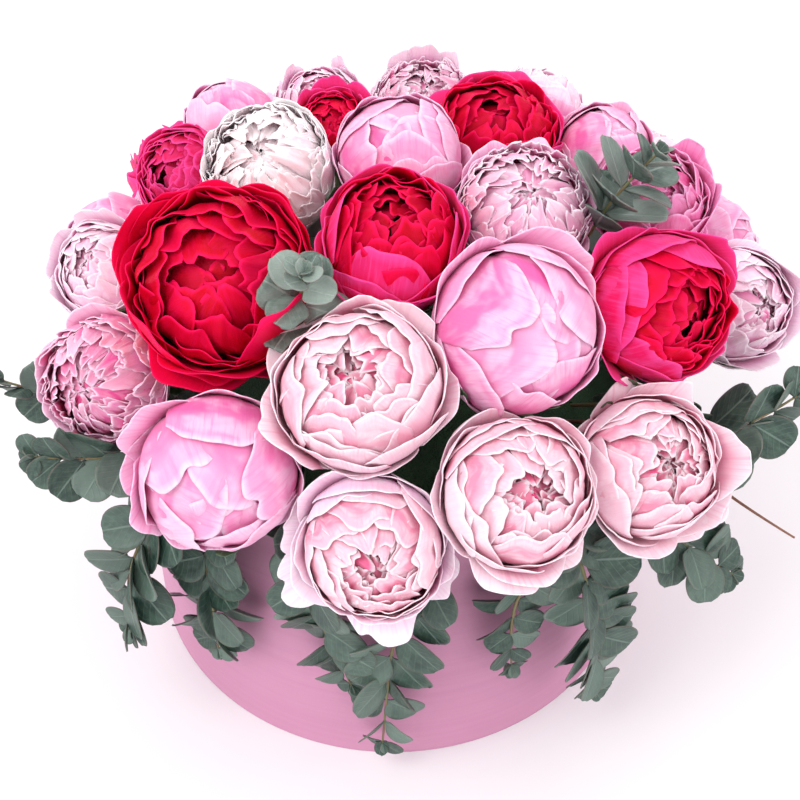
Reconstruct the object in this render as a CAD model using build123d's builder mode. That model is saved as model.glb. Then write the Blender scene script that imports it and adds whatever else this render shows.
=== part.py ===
from build123d import *
import math
import os

# A round flower box, in millimetres. The origin is the centre of the underside,
# +Z is up and -Y is the side that faces the viewer.

# Box
BOX_RADIUS = 150.0
BOX_HEIGHT = 200.0
PAPER = 0.5
BOARD = 2.5
TURN_IN = 25.0
LINING_GAP = 0.5

# Drop-in liner and the floral foam in it
LINER_CLEARANCE = 3.5
LINER_WALL = 1.2
LINER_TOP = 160.0
LINER_LIP = 2.0
FOAM_CLEARANCE = 2.5
FOAM_JOINT = 125.0
FOAM_SHOULDER = 156.0
FOAM_CROWN = 232.0

# Peonies stand on a dome above the rim
DOME_OFFSET = 11.0
DOME_RADIUS = 178.0
DOME_RISE = 82.0
DOME_LEVEL = 230.0
DOME_BACK_FALL = 0.26
BLOOM_GAP = 0.6
RIM_GAP = 3.0
SETTLE_ROUNDS = 160
STEM_RADIUS = 3.0
STEM_FOOT = 172.0
STEM_LEAN = 0.42
STEM_OVER_RIM = 9.0
CALYX_HEIGHT = 5.0
CALYX_SHARE = 0.3
HOLE_CLEARANCE = 0.1
HOLE_DEPTH = 120.0

# Eucalyptus
TWIG_RADIUS = 1.2
TWIG_FOOT_RADIUS = 84.0
TWIG_FOOT = 174.0
TWIG_LEAN = 0.55
TWIG_BEND = 0.45
TWIG_MARKS = 60
TWIG_IN_FROM_RIM = 3.0
TWIG_OVER_RIM = 12.0
TOP_GAP_HEIGHT = 290.0
LEAF_THICKNESS = 0.8
LEAF_WIDTH_SHARE = 0.84
LEAF_SIZES = [0.5, 0.7, 0.85, 1.0]
LEAF_SPREAD = 32.0
LEAF_ROLL = 24.0
LEAF_TURNS = (0, 25, -25, 50, -50, 75, -75)
LEAF_ROOT = 0.8
LEAF_LIFT = 60.0
LEAFY_SHARE = 0.65
LEAF_CLEARANCE = 1.2
SPRIG_CLEARANCE = 3.4
TIP_LENGTH = 2.0

# Height of a bloom's cut base and crown, as a share of its radius
BASE_CUT = 0.9
CROWNS = {"globe": 0.96, "cup": 0.9, "open": 0.86, "ruffle": 0.94}

# name, form, azimuth, angle from the top of the dome, diameter
BLOOMS = [
    ("peony_crimson_large", "open", -147, 39, 95),
    ("peony_crimson_centre", "open", -104, 15, 75),
    ("peony_crimson_right", "open", -35, 50, 78),
    ("peony_crimson_top", "open", 51, 31, 72),
    ("peony_crimson_small", "open", 118, 33, 46),
    ("peony_crimson_left", "open", 156, 49, 54),
    ("peony_blush_centre", "cup", -99, 48, 81),
    ("peony_blush_low", "cup", -73, 74, 75),
    ("peony_blush_right", "cup", -49, 82, 73),
    ("peony_blush_front", "cup", -96, 90, 72),
    ("peony_globe_centre", "globe", -63, 39, 83),
    ("peony_globe_left", "globe", -121, 76, 79),
    ("peony_globe_top", "globe", 93, 7, 70),
    ("peony_ruffle_top", "ruffle", -19, 20, 67),
    ("peony_ruffle_left", "ruffle", -155, 82, 67),
    ("peony_white_left", "ruffle", 163, 26, 71),
    ("peony_pink_back", "ruffle", 85, 45, 64),
    ("peony_pink_back_left", "cup", 114, 52, 54),
    ("peony_pink_back_right", "globe", 36, 42, 56),
    ("peony_magenta_right", "open", 6, 47, 62),
    ("peony_pale_left", "cup", -173, 67, 57),
    ("peony_pale_right", "cup", -5, 85, 67),
    ("peony_rear_right", "globe", 15, 92, 60),
    ("peony_rear_blush", "cup", 38, 92, 66),
    ("peony_rear_crimson", "open", 64, 91, 70),
    ("peony_rear_centre", "cup", 88, 91, 70),
    ("peony_rear_ruffle", "ruffle", 111, 91, 68),
    ("peony_rear_rose", "open", 138, 93, 66),
    ("peony_rear_left", "globe", 165, 92, 58),
    ("peony_rear_upper_right", "cup", 61, 52, 62),
    ("peony_rear_upper_left", "globe", 136, 58, 60),
]

# Sprigs that leave over the rim: azimuth at the rim, then azimuth, radius and height
# of each point outside the box, the largest leaf and the distance between pairs
RIM_SPRIGS = [
    ("eucalyptus_front_left", -105, [(-105, 168, 176), (-103, 163, 138), (-98, 162, 86)], 24, 16),
    ("eucalyptus_front", -82, [(-84, 170, 176), (-90, 165, 135), (-91, 163, 78), (-92, 162, 30)], 26, 27),
    ("eucalyptus_front_right", -63, [(-65, 170, 176), (-68, 165, 140), (-66, 163, 88)], 20, 20),
    (
        "eucalyptus_right_hanging",
        -56,
        [(-57, 182, 176), (-54, 185, 130), (-51, 183, 80), (-50, 181, 50)],
        26,
        15,
    ),
    ("eucalyptus_right_low", -41, [(-41, 182, 182), (-37, 211, 152), (-33, 222, 134)], 24, 17),
    ("eucalyptus_right", -25, [(-28, 182, 208), (-29, 208, 228), (-22, 226, 236)], 28, 16),
    ("eucalyptus_bare_twig", -32, [(-31, 184, 196), (-34, 216, 194), (-34, 250, 188)], 0, 0),
    ("eucalyptus_left_far", -163, [(-163, 192, 205), (-164, 216, 222)], 24, 16),
    ("eucalyptus_left", -142, [(-145, 186, 208), (-149, 214, 218)], 27, 16),
    ("eucalyptus_left_low", -133, [(-136, 184, 174), (-138, 194, 134), (-139, 194, 92)], 27, 16),
    ("eucalyptus_left_hanging", -125, [(-125, 170, 176), (-126, 166, 124), (-127, 164, 78)], 25, 17),
    ("eucalyptus_rear_right", 27, [(27, 180, 184), (29, 192, 138)], 25, 16),
    ("eucalyptus_rear", 74, [(75, 174, 178), (77, 170, 124), (78, 168, 84)], 26, 17),
    ("eucalyptus_rear_left", 121, [(122, 182, 184), (124, 192, 138)], 25, 16),
]

# Sprigs that stand up between the flowers: x and y of the gap, then x, y and height
# of each point above it, the largest leaf and the distance between pairs
TOP_SPRIGS = [
    ("eucalyptus_top_right", (101, -25), [(113, -22, 318), (134, -14, 338)], 25, 12),
    ("eucalyptus_top_left", (-44, -85), [(-43, -92, 314), (-40, -100, 334)], 20, 10),
]


class Bloom:
    """One flower head, held as the ball that bounds it."""

    def __init__(self, name, form, azimuth, polar, diameter):
        self.name = name
        self.form = form
        self.radius = diameter / 2
        reach = DOME_RADIUS * math.sin(math.radians(polar))
        across = DOME_OFFSET + reach * math.cos(math.radians(azimuth))
        along = reach * math.sin(math.radians(azimuth))
        rise = DOME_RISE - DOME_BACK_FALL * max(0, along)
        self.centre = Vector(across, along, DOME_LEVEL + rise * math.cos(math.radians(polar)))

    def foot(self):
        """Return the lower end of the stem, in the foam, so that the stem clears the rim."""
        reach = math.hypot(self.centre.X, self.centre.Y)
        height = STEM_FOOT
        if reach > BOX_RADIUS:
            over_rim = BOX_HEIGHT + STEM_OVER_RIM
            slope = (self.centre.Z - over_rim) / (reach - BOX_RADIUS)
            height = max(height, over_rim - slope * (BOX_RADIUS - STEM_LEAN * reach))
        return Vector(self.centre.X * STEM_LEAN, self.centre.Y * STEM_LEAN, height)

    def axis(self):
        """Return the direction in which the flower faces."""
        return (self.centre - self.foot()).normalized()


def cylindrical(azimuth, radius, height):
    """Return a point from its azimuth in degrees, radius and height."""
    turn = math.radians(azimuth)
    return Vector(radius * math.cos(turn), radius * math.sin(turn), height)


def settle(blooms):
    """Push the flowers apart until none touches another or the rim."""
    for _ in range(SETTLE_ROUNDS):
        for index, one in enumerate(blooms):
            for other in blooms[index + 1 :]:
                reach = one.radius + other.radius + BLOOM_GAP
                if math.dist(one.centre, other.centre) < reach:
                    gap = other.centre - one.centre
                    push = gap.normalized() * ((reach - gap.length) / 2)
                    one.centre = one.centre - push
                    other.centre = other.centre + push
            outward = Vector(one.centre.X, one.centre.Y, 0).normalized()
            away = one.centre - outward * BOX_RADIUS - Vector(0, 0, BOX_HEIGHT)
            if away.length < one.radius + RIM_GAP:
                one.centre = one.centre + away.normalized() * (one.radius + RIM_GAP - away.length)


blooms = [Bloom(*row) for row in BLOOMS]
settle(blooms)
balls = [(tuple(bloom.centre), bloom.radius) for bloom in blooms]


def room(point):
    """Return how far a point is from the nearest flower."""
    return min(math.dist(point, centre) - radius for centre, radius in balls)


def top_gap(x, y, height):
    """Return the place near x and y, at a height, with the most room for a twig."""
    steps = range(-12, 13)
    places = [(x + across, y + along, height) for across in steps for along in steps]
    return Vector(*max(places, key=room))


# ---------------------------------------------------------------- the box

tube_outer = BOX_RADIUS - PAPER
tube_inner = tube_outer - BOARD
tube_top = BOX_HEIGHT - PAPER
base_top = PAPER + BOARD

with BuildPart() as box_tube:
    with BuildSketch(Plane.XY.offset(PAPER)):
        Circle(tube_outer)
        Circle(tube_inner, mode=Mode.SUBTRACT)
    extrude(amount=tube_top - PAPER)

with BuildPart() as outer_wrap:
    with BuildSketch(Plane.XZ):
        with BuildLine():
            Polyline(
                (tube_outer, PAPER),
                (BOX_RADIUS, PAPER),
                (BOX_RADIUS, BOX_HEIGHT),
                (tube_inner - PAPER, BOX_HEIGHT),
                (tube_inner - PAPER, BOX_HEIGHT - TURN_IN),
                (tube_inner, BOX_HEIGHT - TURN_IN),
                (tube_inner, tube_top),
                (tube_outer, tube_top),
                close=True,
            )
        make_face()
    revolve(axis=Axis.Z)

with BuildPart() as inner_lining:
    with BuildSketch(Plane.XY.offset(base_top)):
        Circle(tube_inner)
        Circle(tube_inner - PAPER, mode=Mode.SUBTRACT)
    extrude(amount=BOX_HEIGHT - TURN_IN - LINING_GAP - base_top)

with BuildPart() as base_disc:
    with BuildSketch(Plane.XY.offset(PAPER)):
        Circle(tube_inner)
    extrude(amount=BOARD)

with BuildPart() as base_cover:
    with BuildSketch():
        Circle(BOX_RADIUS - PAPER)
    extrude(amount=PAPER)

# ---------------------------------------------------------------- liner

liner_outer = tube_inner - PAPER - LINER_CLEARANCE
liner_inner = liner_outer - LINER_WALL
liner_floor = base_top + LINER_WALL

with BuildPart() as liner_tub:
    with BuildSketch(Plane.XY.offset(base_top)):
        Circle(liner_outer)
    extrude(amount=LINER_TOP - base_top)
    with BuildSketch(Plane.XY.offset(LINER_TOP - LINER_LIP)):
        Circle(liner_outer + LINER_LIP)
    extrude(amount=LINER_LIP)
    with BuildSketch(Plane.XY.offset(liner_floor)):
        Circle(liner_inner)
    extrude(amount=LINER_TOP - liner_floor, mode=Mode.SUBTRACT)

# ---------------------------------------------------------------- sprig layout


def twig_points(start, rest):
    """Return the corners of a twig's route, foot first."""
    reach = math.hypot(start.X, start.Y)
    share = min(TWIG_FOOT_RADIUS, TWIG_LEAN * reach) / reach
    return [Vector(start.X * share, start.Y * share, TWIG_FOOT), start, *rest]


def bend_radii(points):
    """Return the radius of each bend, as large as its two runs allow."""
    radii = []
    for before, corner, after in zip(points, points[1:], points[2:]):
        first = corner - before
        second = after - corner
        half_turn = math.radians(first.get_angle(second)) / 2
        radii.append(TWIG_BEND * min(first.length, second.length) / math.tan(half_turn))
    return radii


class Leaf:
    """A round leaf, as a thin plate on its own plane."""

    def __init__(self, root, direction, normal, length):
        self.length = length
        self.width = length * LEAF_WIDTH_SHARE
        middle = root + direction * (length / 2 - LEAF_ROOT)
        self.plane = Plane(middle, x_dir=direction, z_dir=normal)

    def samples(self):
        """Return points spread over the leaf, close enough to find what it touches."""
        middle = tuple(self.plane.origin)
        along = tuple(self.plane.x_dir)
        across = tuple(self.plane.y_dir)
        points = [middle]
        for share in (0.35, 0.7, 1.0):
            for turn in range(0, 360, 30):
                ahead = share * self.length / 2 * math.cos(math.radians(turn))
                aside = share * self.width / 2 * math.sin(math.radians(turn))
                points.append(tuple(m + ahead * a + aside * c for m, a, c in zip(middle, along, across)))
        return points


def leaf_fits(leaf, taken):
    """Return whether a leaf is clear of the flowers, the box and the other sprigs."""
    for point in leaf.samples():
        beside_box = math.hypot(point[0], point[1]) < BOX_RADIUS + LEAF_CLEARANCE
        if beside_box and point[2] < BOX_HEIGHT + LEAF_CLEARANCE:
            return False
        if room(point) < LEAF_CLEARANCE:
            return False
        if any(math.dist(point, other) < SPRIG_CLEARANCE for other in taken):
            return False
    return True


def place_leaves(route, largest, spacing, taken):
    """Return the leaves of a twig: pairs along it, each turned to where there is room."""
    leaves = []
    near = [point for point in taken if math.dist(point, route @ 0.7) < route.length]
    for pair in range(int(LEAFY_SHARE * route.length / spacing) if spacing else 0):
        along = 1 - (TIP_LENGTH + pair * spacing) / route.length
        root = route @ along
        tangent = route % along
        outward = Vector(root.X, root.Y, LEAF_LIFT).normalized()
        facing = (outward - tangent * outward.dot(tangent)).normalized()
        side = tangent.cross(facing)
        length = largest * LEAF_SIZES[min(pair, len(LEAF_SIZES) - 1)]
        spread = math.radians(LEAF_SPREAD)
        for hand in (1, -1):
            for turn in LEAF_TURNS:
                roll = math.radians(turn + (pair % 2) * LEAF_ROLL * hand)
                across = (side * math.cos(roll) + facing * math.sin(roll)) * hand
                up = facing * math.cos(roll) - side * math.sin(roll)
                leaf = Leaf(root, across * math.cos(spread) + tangent * math.sin(spread), up, length)
                if leaf_fits(leaf, near):
                    leaves.append(leaf)
                    break
    return leaves


def make_sprig(name, points, largest, spacing, taken):
    """Return one sprig as one solid, a bent twig and its leaves, with its route."""
    with BuildLine(mode=Mode.PRIVATE) as route:
        FilletPolyline(*points, radius=bend_radii(points))
    line = route.wire()
    marks = [tuple(line @ (step / TWIG_MARKS)) for step in range(TWIG_MARKS + 1)]
    crowding = min((math.dist(one, two) for one in marks for two in taken), default=BOX_RADIUS)
    leaves = place_leaves(line, largest, spacing, taken)
    with BuildPart() as sprig:
        with BuildSketch(Plane(origin=line @ 0, z_dir=line % 0)):
            Circle(TWIG_RADIUS)
        sweep(path=line)
        for length in sorted({leaf.length for leaf in leaves}):
            planes = [leaf.plane for leaf in leaves if leaf.length == length]
            with BuildSketch(*planes):
                Ellipse(length / 2, length * LEAF_WIDTH_SHARE / 2)
            extrude(amount=LEAF_THICKNESS / 2, both=True)
    sprig.part.label = name
    taken.extend(marks)
    for leaf in leaves:
        taken.extend(leaf.samples())
    least = min(room(mark) for mark in marks)
    rim = min(math.hypot(math.hypot(x, y) - BOX_RADIUS, z - BOX_HEIGHT) for x, y, z in marks)
    print(f"{name}: {len(leaves)} leaves, {len(sprig.part.solids())} solid,", end=" ")
    print(f"twig clears flowers {least:.1f}, rim {rim:.1f}, other sprigs {crowding:.1f},", end=" ")
    print(f"lowest {sprig.part.bounding_box().min.Z:.0f}, volume {sprig.part.volume:.0f}")
    return sprig.part, line


taken = []
sprigs = []
for name, azimuth, outside, largest, spacing in RIM_SPRIGS:
    start = cylindrical(azimuth, BOX_RADIUS - TWIG_IN_FROM_RIM, BOX_HEIGHT + TWIG_OVER_RIM)
    points = twig_points(start, [cylindrical(*place) for place in outside])
    sprigs.append(make_sprig(name, points, largest, spacing, taken))
for name, gap, above, largest, spacing in TOP_SPRIGS:
    start = top_gap(*gap, TOP_GAP_HEIGHT)
    points = twig_points(start, [Vector(*place) for place in above])
    sprigs.append(make_sprig(name, points, largest, spacing, taken))

# ---------------------------------------------------------------- foam

foam_radius = liner_inner - FOAM_CLEARANCE
crown_rise = FOAM_CROWN - FOAM_SHOULDER
crown_radius = (foam_radius**2 + crown_rise**2) / (2 * crown_rise)
crown_centre = FOAM_CROWN - crown_radius
crown_middle = math.asin(foam_radius / crown_radius) / 2

with BuildPart() as foam_lower:
    with BuildSketch(Plane.XY.offset(liner_floor)):
        Circle(foam_radius)
    extrude(amount=FOAM_JOINT - liner_floor)
    chamfer(foam_lower.edges().sort_by(Axis.Z)[0], length=3)

with BuildPart() as foam_upper:
    with BuildSketch(Plane.XZ):
        with BuildLine():
            Polyline(
                (0, FOAM_CROWN),
                (0, FOAM_JOINT),
                (foam_radius, FOAM_JOINT),
                (foam_radius, FOAM_SHOULDER),
            )
            ThreePointArc(
                (foam_radius, FOAM_SHOULDER),
                (
                    crown_radius * math.sin(crown_middle),
                    crown_centre + crown_radius * math.cos(crown_middle),
                ),
                (0, FOAM_CROWN),
            )
        make_face()
    revolve(axis=Axis.Z)
    with BuildSketch(*[Plane(origin=bloom.foot(), z_dir=bloom.axis()) for bloom in blooms]):
        Circle(STEM_RADIUS + HOLE_CLEARANCE)
    extrude(amount=HOLE_DEPTH, mode=Mode.SUBTRACT)
    with BuildSketch(*[Plane(origin=line @ 0, z_dir=line % 0) for part, line in sprigs]):
        Circle(TWIG_RADIUS + HOLE_CLEARANCE)
    extrude(amount=HOLE_DEPTH, mode=Mode.SUBTRACT)

# ---------------------------------------------------------------- flowers


def make_head(bloom):
    """Return a flower head: a ball cut flat at its base and at its crown."""
    crown = CROWNS[bloom.form] * bloom.radius
    base = BASE_CUT * bloom.radius
    face = Plane(origin=bloom.centre, z_dir=bloom.axis())
    with BuildPart() as head:
        with BuildSketch(Plane(origin=face.origin, x_dir=face.x_dir, z_dir=face.y_dir)):
            with BuildLine():
                Polyline(
                    (math.sqrt(bloom.radius**2 - crown**2), -crown),
                    (0, -crown),
                    (0, base),
                    (math.sqrt(bloom.radius**2 - base**2), base),
                )
                ThreePointArc(
                    (math.sqrt(bloom.radius**2 - base**2), base),
                    (bloom.radius, 0),
                    (math.sqrt(bloom.radius**2 - crown**2), -crown),
                )
            make_face()
        revolve(axis=Axis(face.origin, face.z_dir))
    head.part.label = bloom.name
    return head.part


heads = [make_head(bloom) for bloom in blooms]


def make_stem(bloom):
    """Return a stem that widens into the calyx under its flower head."""
    crown = bloom.centre - bloom.axis() * (BASE_CUT * bloom.radius)
    neck = crown - bloom.axis() * CALYX_HEIGHT
    with BuildPart() as stem:
        with BuildSketch(Plane(origin=bloom.foot(), z_dir=bloom.axis())):
            Circle(STEM_RADIUS)
        extrude(amount=(neck - bloom.foot()).length)
        with BuildSketch(Plane(origin=neck, z_dir=bloom.axis())):
            Circle(STEM_RADIUS)
        with BuildSketch(Plane(origin=crown, z_dir=bloom.axis())):
            Circle(CALYX_SHARE * bloom.radius)
        loft()
    return stem.part


with BuildPart() as peony_stems:
    add([make_stem(bloom) for bloom in blooms])

# ---------------------------------------------------------------- export

box_tube.part.label = "box_tube"
outer_wrap.part.label = "outer_wrap"
inner_lining.part.label = "inner_lining"
base_disc.part.label = "base_disc"
base_cover.part.label = "base_cover"
liner_tub.part.label = "liner_tub"
foam_lower.part.label = "foam_lower"
foam_upper.part.label = "foam_upper"
peony_stems.part.label = "peony_stems"

os.makedirs("parts", exist_ok=True)
export_step(box_tube.part, "parts/box_tube.step")
export_step(outer_wrap.part, "parts/outer_wrap.step")
export_step(inner_lining.part, "parts/inner_lining.step")
export_step(base_disc.part, "parts/base_disc.step")
export_step(base_cover.part, "parts/base_cover.step")
export_step(liner_tub.part, "parts/liner_tub.step")
export_step(foam_lower.part, "parts/foam_lower.step")
export_step(foam_upper.part, "parts/foam_upper.step")
export_step(peony_stems.part, "parts/peony_stems.step")
for head in heads:
    export_step(head, "parts/" + head.label + ".step")
for part, line in sprigs:
    export_step(part, "parts/" + part.label + ".step")
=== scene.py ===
import math
import random

import bpy
import numpy as np
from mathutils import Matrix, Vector


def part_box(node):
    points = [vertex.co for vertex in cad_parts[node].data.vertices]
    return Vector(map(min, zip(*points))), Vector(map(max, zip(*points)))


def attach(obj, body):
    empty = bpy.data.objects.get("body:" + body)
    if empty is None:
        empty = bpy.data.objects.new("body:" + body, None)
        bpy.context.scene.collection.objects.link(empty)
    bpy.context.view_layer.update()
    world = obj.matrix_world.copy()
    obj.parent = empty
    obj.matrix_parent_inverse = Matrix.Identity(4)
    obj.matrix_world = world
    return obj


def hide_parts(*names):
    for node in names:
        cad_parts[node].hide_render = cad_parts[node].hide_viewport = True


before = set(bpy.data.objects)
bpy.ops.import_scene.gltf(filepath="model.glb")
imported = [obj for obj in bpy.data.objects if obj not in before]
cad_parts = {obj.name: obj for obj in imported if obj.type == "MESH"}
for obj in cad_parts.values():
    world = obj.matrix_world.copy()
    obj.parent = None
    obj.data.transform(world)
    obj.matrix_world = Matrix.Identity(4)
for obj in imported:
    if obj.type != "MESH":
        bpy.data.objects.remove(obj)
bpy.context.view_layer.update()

# ------------------------------------------------------------------ camera

CAMERA_PLACE = (0.0044, -0.6557, 0.8161)
CAMERA_PITCH = 45.6
CAMERA_LENS = 70.9

camera_data = bpy.data.cameras.new("camera")
camera_data.lens = CAMERA_LENS
camera_data.sensor_width = 36.0
camera_data.clip_start = 0.01
camera = bpy.data.objects.new("camera", camera_data)
camera.location = CAMERA_PLACE
camera.rotation_euler = (math.radians(90 - CAMERA_PITCH), 0, 0)
bpy.context.scene.collection.objects.link(camera)
bpy.context.scene.camera = camera

# ------------------------------------------------------------------ node helpers


def new_material(name, roughness, specular=0.35):
    """Return a new material, its node tree and its Principled shader."""
    material = bpy.data.materials.new(name)
    material.use_nodes = True
    tree = material.node_tree
    shader = tree.nodes["Principled BSDF"]
    shader.inputs["Roughness"].default_value = roughness
    shader.inputs["Specular IOR Level"].default_value = specular
    return material, tree, shader


def feed(tree, socket, value):
    """Link a socket, or set a colour or a number, into an input."""
    if isinstance(value, bpy.types.NodeSocket):
        tree.links.new(value, socket)
    elif isinstance(value, tuple) and socket.type == "RGBA":
        socket.default_value = (*value, 1.0)
    else:
        socket.default_value = value


def calc(tree, operation, *values, clamp=True):
    """Return the output of a Math node between sockets or numbers."""
    node = tree.nodes.new("ShaderNodeMath")
    node.operation = operation
    node.use_clamp = clamp
    for socket, value in zip(node.inputs, values):
        feed(tree, socket, value)
    return node.outputs[0]


def mix(tree, factor, first, second, blend="MIX"):
    """Return a mix of two colours, each a socket or (r, g, b)."""
    node = tree.nodes.new("ShaderNodeMix")
    node.data_type = "RGBA"
    node.blend_type = blend
    feed(tree, node.inputs[0], factor)
    feed(tree, node.inputs[6], first)
    feed(tree, node.inputs[7], second)
    return node.outputs[2]


def ramp(tree, source, stops):
    """Return a colour ramp's output; its stops are (position, (r, g, b))."""
    node = tree.nodes.new("ShaderNodeValToRGB")
    elements = node.color_ramp.elements
    while len(elements) < len(stops):
        elements.new(0.5)
    for element, (position, colour) in zip(elements, stops):
        element.position = position
        element.color = (*colour, 1.0)
    tree.links.new(source, node.inputs["Fac"])
    return node.outputs["Color"]


def mask(tree, source, start, end):
    """Return a socket that goes from 0 to 1 as the source goes from start to end."""
    node = tree.nodes.new("ShaderNodeMapRange")
    node.interpolation_type = "SMOOTHSTEP"
    feed(tree, node.inputs["Value"], source)
    node.inputs["From Min"].default_value = start
    node.inputs["From Max"].default_value = end
    return node.outputs["Result"]


def noise(tree, vector, stretch, scale=1.0, detail=3.0, roughness=0.5):
    """Return a noise over a vector socket, stretched differently along its axes."""
    mapping = tree.nodes.new("ShaderNodeMapping")
    mapping.inputs["Scale"].default_value = stretch
    tree.links.new(vector, mapping.inputs["Vector"])
    node = tree.nodes.new("ShaderNodeTexNoise")
    node.inputs["Scale"].default_value = scale
    node.inputs["Detail"].default_value = detail
    node.inputs["Roughness"].default_value = roughness
    tree.links.new(mapping.outputs["Vector"], node.inputs["Vector"])
    return node.outputs["Fac"]


def bump(tree, shader, height, strength, distance):
    """Feed a height socket to the shader's normal as bump."""
    node = tree.nodes.new("ShaderNodeBump")
    node.inputs["Strength"].default_value = strength
    node.inputs["Distance"].default_value = distance
    tree.links.new(height, node.inputs["Height"])
    tree.links.new(node.outputs["Normal"], shader.inputs["Normal"])


def attribute(tree, name):
    """Return a mesh attribute's vector socket and its three numbers."""
    node = tree.nodes.new("ShaderNodeAttribute")
    node.attribute_name = name
    parts = tree.nodes.new("ShaderNodeSeparateXYZ")
    tree.links.new(node.outputs["Vector"], parts.inputs[0])
    return node.outputs["Vector"], parts.outputs[0], parts.outputs[1], parts.outputs[2]


def object_vector(tree):
    """Return the socket of a point's place on its object, in metres."""
    return tree.nodes.new("ShaderNodeTexCoord").outputs["Object"]


# ------------------------------------------------------------------ petal materials

# colour at the base of a petal, at its middle, at its lip, deep inside the head (its deeper heart colour,
# with painted shade for the recesses), and in its veins
PETAL_COLOURS = {
    "crimson": (
        (0.48, 0.0, 0.007), (0.76, 0.001, 0.022), (0.92, 0.006, 0.095),
        (0.3, 0.0, 0.004), (0.93, 0.005, 0.11),
    ),
    "rose": (
        (0.66, 0.002, 0.04), (0.82, 0.008, 0.12), (0.92, 0.06, 0.31),
        (0.46, 0.0, 0.014), (0.92, 0.1, 0.38),
    ),
    "magenta": (
        (0.74, 0.05, 0.26), (0.9, 0.22, 0.52), (0.95, 0.46, 0.72),
        (0.62, 0.01, 0.14), (0.82, 0.1, 0.38),
    ),
    "pink": (
        (0.8, 0.12, 0.38), (0.9, 0.31, 0.56), (0.95, 0.66, 0.84),
        (0.74, 0.04, 0.26), (0.83, 0.14, 0.43),
    ),
    "ruffle": (
        (0.84, 0.15, 0.42), (0.92, 0.38, 0.63), (0.97, 0.74, 0.87),
        (0.74, 0.02, 0.2), (0.82, 0.13, 0.42),
    ),
    "blush": (
        (0.86, 0.28, 0.42), (0.92, 0.54, 0.66), (0.97, 0.85, 0.9),
        (0.8, 0.04, 0.2), (0.89, 0.38, 0.53),
    ),
    "pale": (
        (0.91, 0.44, 0.66), (0.95, 0.66, 0.82), (0.98, 0.87, 0.94),
        (0.84, 0.16, 0.4), (0.93, 0.48, 0.71),
    ),
    "white": (
        (0.98, 0.88, 0.91), (0.99, 0.95, 0.96), (1.0, 0.98, 0.985),
        (0.96, 0.74, 0.8), (0.98, 0.9, 0.93),
    ),
}
# how strongly each colour's surface shines and how velvety its rim looks
PETAL_SHINE = {"crimson": (0.10, 0.0), "rose": (0.14, 0.02), "magenta": (0.2, 0.05)}


def petal_material(name):
    """Return a petal material: veins, blotches, a paler lip, and a deeper colour inside that is partly
    painted shade.
    """
    base, middle, lip, heart_colour_and_shade, vein = PETAL_COLOURS[name]
    shine, velvet = PETAL_SHINE.get(name, (0.28, 0.12))
    material, tree, shader = new_material("petal_" + name, 0.55, shine)
    place, _, along, tone = attribute(tree, "place")
    _, inside, depth, _ = attribute(tree, "look")
    colour = ramp(tree, along, [(0.30, base), (0.66, middle), (0.86, middle), (0.99, lip)])
    blotch = mask(tree, noise(tree, place, (1.7, 2.2, 11.0), detail=2.0), 0.42, 0.66)
    colour = mix(tree, calc(tree, "MULTIPLY", blotch, 0.55), colour, lip)
    veins = noise(tree, place, (15.0, 1.3, 13.0), detail=5.0, roughness=0.62)
    strength = calc(tree, "MULTIPLY", mask(tree, veins, 0.44, 0.72), 0.5)
    colour = mix(tree, strength, colour, vein)
    # painted shade: the inner faces towards the base, and the petals deep in the heart, take the deep
    # colour; partly the heart's real deeper colour, partly painted shade in the recesses between petals
    shaded_inner_face = calc(tree, "MULTIPLY", inside, mask(tree, along, 1.0, 0.55))
    colour = mix(tree, calc(tree, "MULTIPLY", shaded_inner_face, 0.8), colour, heart_colour_and_shade)
    colour = mix(tree, calc(tree, "MULTIPLY", depth, mask(tree, along, 1.0, 0.78)), colour, heart_colour_and_shade)
    colour = mix(tree, calc(tree, "MULTIPLY", calc(tree, "POWER", tone, 2.0), 0.5), colour, lip)
    tree.links.new(colour, shader.inputs["Base Color"])
    shader.inputs["Subsurface Weight"].default_value = 0.0 if name == "white" else 0.12
    shader.inputs["Subsurface Radius"].default_value = (0.008, 0.004, 0.005)
    shader.inputs["Subsurface Scale"].default_value = 0.5
    shader.inputs["Sheen Weight"].default_value = velvet
    shader.inputs["Sheen Roughness"].default_value = 0.5
    ribs = noise(tree, place, (24.0, 1.7, 17.0), detail=3.0, roughness=0.55)
    bump(tree, shader, ribs, 0.4, 0.0008)
    return material


# ------------------------------------------------------------------ leaf and box materials


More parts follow.
